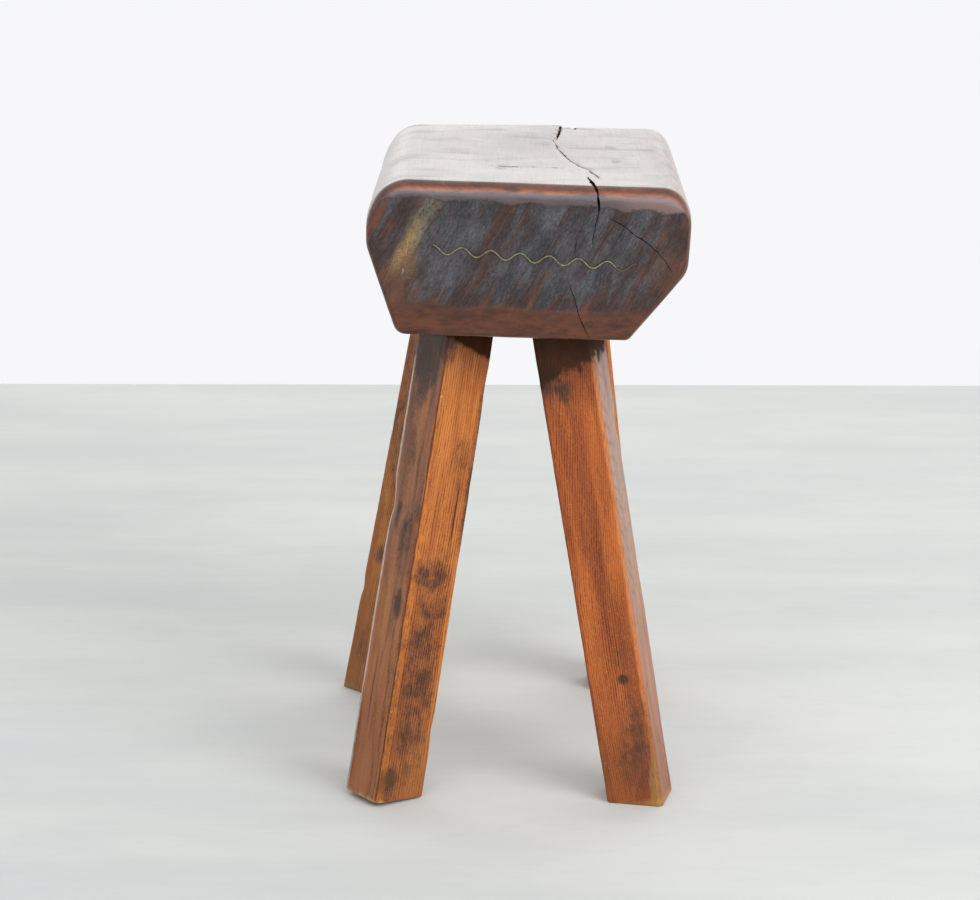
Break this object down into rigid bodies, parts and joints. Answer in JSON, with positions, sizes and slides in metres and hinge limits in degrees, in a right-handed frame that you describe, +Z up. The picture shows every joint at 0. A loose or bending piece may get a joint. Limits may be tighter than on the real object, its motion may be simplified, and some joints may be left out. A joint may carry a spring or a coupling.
{
  "type": "wooden milking stool",
  "caption": "Rustic milking stool: a thick reclaimed timber block with rounded top edges on splayed square posts tenoned into its underside.",
  "frame": {"origin": "on the floor under the middle of the stool's outer box", "axes": "+Z up; +Y with the seat's grain, from the end that carries the corrugated iron to the rear end; +X across the seat to the right as seen from the front"},
  "size_m": [0.288, 0.3596, 0.5004],
  "materials": {
    "seat_timber": "waxed and worn dark reclaimed timber, polished top and rounded edges, grey-black weathered end grain",
    "post_front_left": "satin, coarse straight grain, brown with black stains and a worn orange front edge",
    "post_front_right": "satin, coarse straight grain, orange-brown",
    "post_rear_left": "satin, coarse straight grain, olive brown",
    "post_rear_right": "satin, coarse straight grain, orange-brown",
    "wedge_wood": "plain split hardwood",
    "iron_strip": "worn bright edge of an old corrugated iron strip"
  },
  "bodies": {
    "root": {"seat_block": "seat_timber", "leg_front_left": "post_front_left", "leg_front_right": "post_front_right", "leg_rear_left": "post_rear_left", "leg_rear_right": "post_rear_right", "fox_wedge_front_left": "wedge_wood", "fox_wedge_front_right": "wedge_wood", "fox_wedge_rear_left": "wedge_wood", "fox_wedge_rear_right": "wedge_wood", "anti_split_iron": "iron_strip"}
  },
  "joints": []
}
